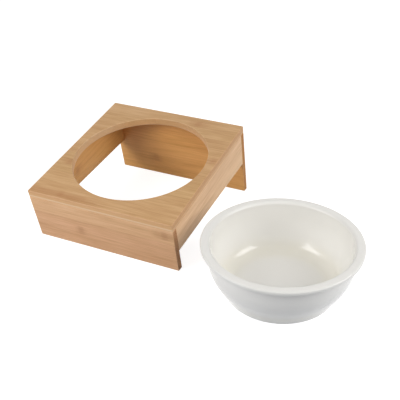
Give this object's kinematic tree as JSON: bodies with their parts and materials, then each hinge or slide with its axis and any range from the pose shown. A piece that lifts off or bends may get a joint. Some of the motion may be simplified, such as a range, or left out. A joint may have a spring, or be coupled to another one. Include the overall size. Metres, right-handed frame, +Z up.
{
  "type": "elevated pet bowl",
  "caption": "Slanted bamboo stand with a round hole, and a wide-rimmed white glazed bowl that stands beside it and drops into the hole to hang by its rim at feeding height.",
  "frame": {"origin": "middle of the footprint box of stand and bowl together, on the floor", "axes": "+Z up, +X to the right from the stand to the bowl, the stand's low front faces -Y"},
  "size_m": [0.4136, 0.2863, 0.1057],
  "materials": {
    "bamboo": "caramel bamboo strips, sanded and clear-lacquered, satin",
    "dowel": "raw turned wood, dry",
    "glaze": "white glossy glaze, fired"
  },
  "bodies": {
    "stand": {"top_board": "bamboo", "front_panel": "bamboo", "rear_panel": "bamboo", "left_rail": "bamboo", "right_rail": "bamboo", "top_front_dowels": "dowel", "top_rear_dowels": "dowel", "top_left_dowels": "dowel", "top_right_dowels": "dowel", "front_left_dowels": "dowel", "front_right_dowels": "dowel", "rear_left_dowels": "dowel", "rear_right_dowels": "dowel"},
    "bowl": {"bowl": "glaze"}
  },
  "joints": [
    {"name": "bowl_lift", "type": "slide", "parent": "stand", "child": "bowl", "axis": [0, 0, 1], "range_m": [0, 0.12]}
  ]
}
